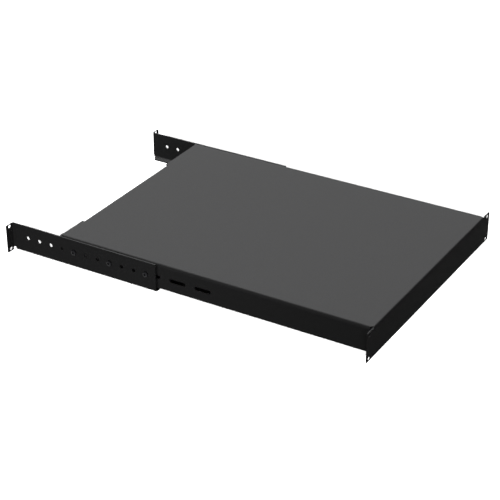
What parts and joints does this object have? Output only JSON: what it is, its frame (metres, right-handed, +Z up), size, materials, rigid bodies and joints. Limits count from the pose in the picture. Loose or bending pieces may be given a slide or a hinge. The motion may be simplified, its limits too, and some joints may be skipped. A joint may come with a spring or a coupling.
{
  "type": "adjustable-depth four-post rack shelf",
  "caption": "Flat-decked rack shelf of folded black steel, with front ears on the tray and bolted rear brackets that set its depth.",
  "frame": {"origin": "middle of the four front rack slots, in the plane where the front ears bear on the rack posts", "axes": "+Z up, +Y from the front of the rack to the back, +X to the right seen from the front"},
  "size_m": [0.4826, 0.712, 0.054],
  "materials": {
    "tray_powder_coat": "satin black powder coat",
    "left_bracket_powder_coat": "satin black powder coat",
    "right_bracket_powder_coat": "satin black powder coat",
    "screw_black_steel": "black oxide",
    "nut_zinc_steel": "black zinc"
  },
  "bodies": {
    "root": {"tray": "tray_powder_coat", "left_rear_bracket": "left_bracket_powder_coat", "right_rear_bracket": "right_bracket_powder_coat", "left_bracket_screws": "screw_black_steel", "right_bracket_screws": "screw_black_steel", "left_bracket_nuts": "nut_zinc_steel", "right_bracket_nuts": "nut_zinc_steel"}
  },
  "joints": []
}
